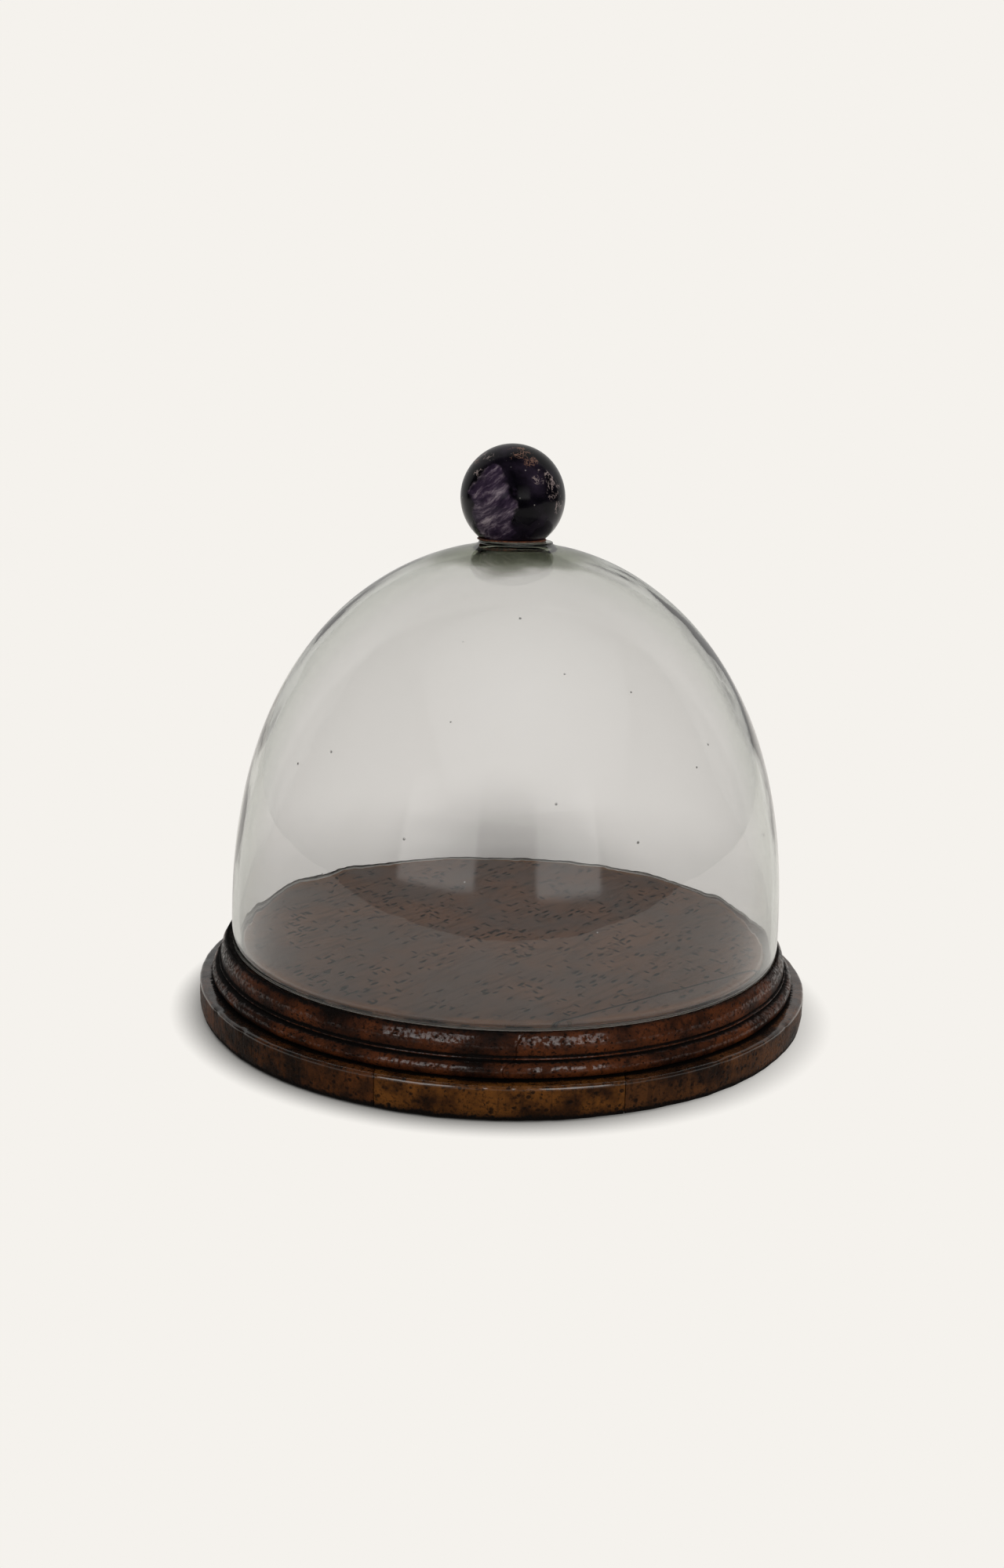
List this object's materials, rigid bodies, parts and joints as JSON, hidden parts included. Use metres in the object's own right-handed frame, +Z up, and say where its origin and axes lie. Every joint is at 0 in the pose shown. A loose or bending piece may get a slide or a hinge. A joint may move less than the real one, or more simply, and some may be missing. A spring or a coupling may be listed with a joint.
{
  "type": "glass bell jar with wooden base",
  "caption": "Blown glass bell jar with a polished stone ball finial, resting in the ledge of a turned and moulded varnished wooden base; the dome lifts straight off.",
  "frame": {"origin": "middle of the underside, on the surface that the base stands on", "axes": "+Z up along the dome's axis, -Y towards the front, +X to the right"},
  "size_m": [0.32, 0.32, 0.2936],
  "materials": {
    "plinth_wood": "old worn varnish, darker at the foot",
    "moulding_wood": "glossy old varnish with wax and dirt in the grooves",
    "baize": "wool baize",
    "screw_steel": "aged steel",
    "blown_glass": "hand blown, slightly smoky, with seeds and ripples",
    "cement": "reddish brown resin cement",
    "amethyst": "polished"
  },
  "bodies": {
    "base": {"plinth_board_left": "plinth_wood", "plinth_board_middle": "plinth_wood", "plinth_board_right": "plinth_wood", "top_board_wide": "moulding_wood", "top_board_narrow": "moulding_wood", "baize_pad": "baize", "base_screw_1": "screw_steel", "base_screw_2": "screw_steel", "base_screw_3": "screw_steel", "base_screw_4": "screw_steel", "base_screw_5": "screw_steel", "base_screw_6": "screw_steel", "base_screw_7": "screw_steel", "base_screw_8": "screw_steel"},
    "dome": {"glass_dome": "blown_glass", "finial_bedding": "cement", "finial_ball": "amethyst"}
  },
  "joints": [
    {"name": "dome_lift", "type": "slide", "parent": "base", "child": "dome", "axis": [0, 0, 1], "range_m": [0, 0.24]}
  ]
}
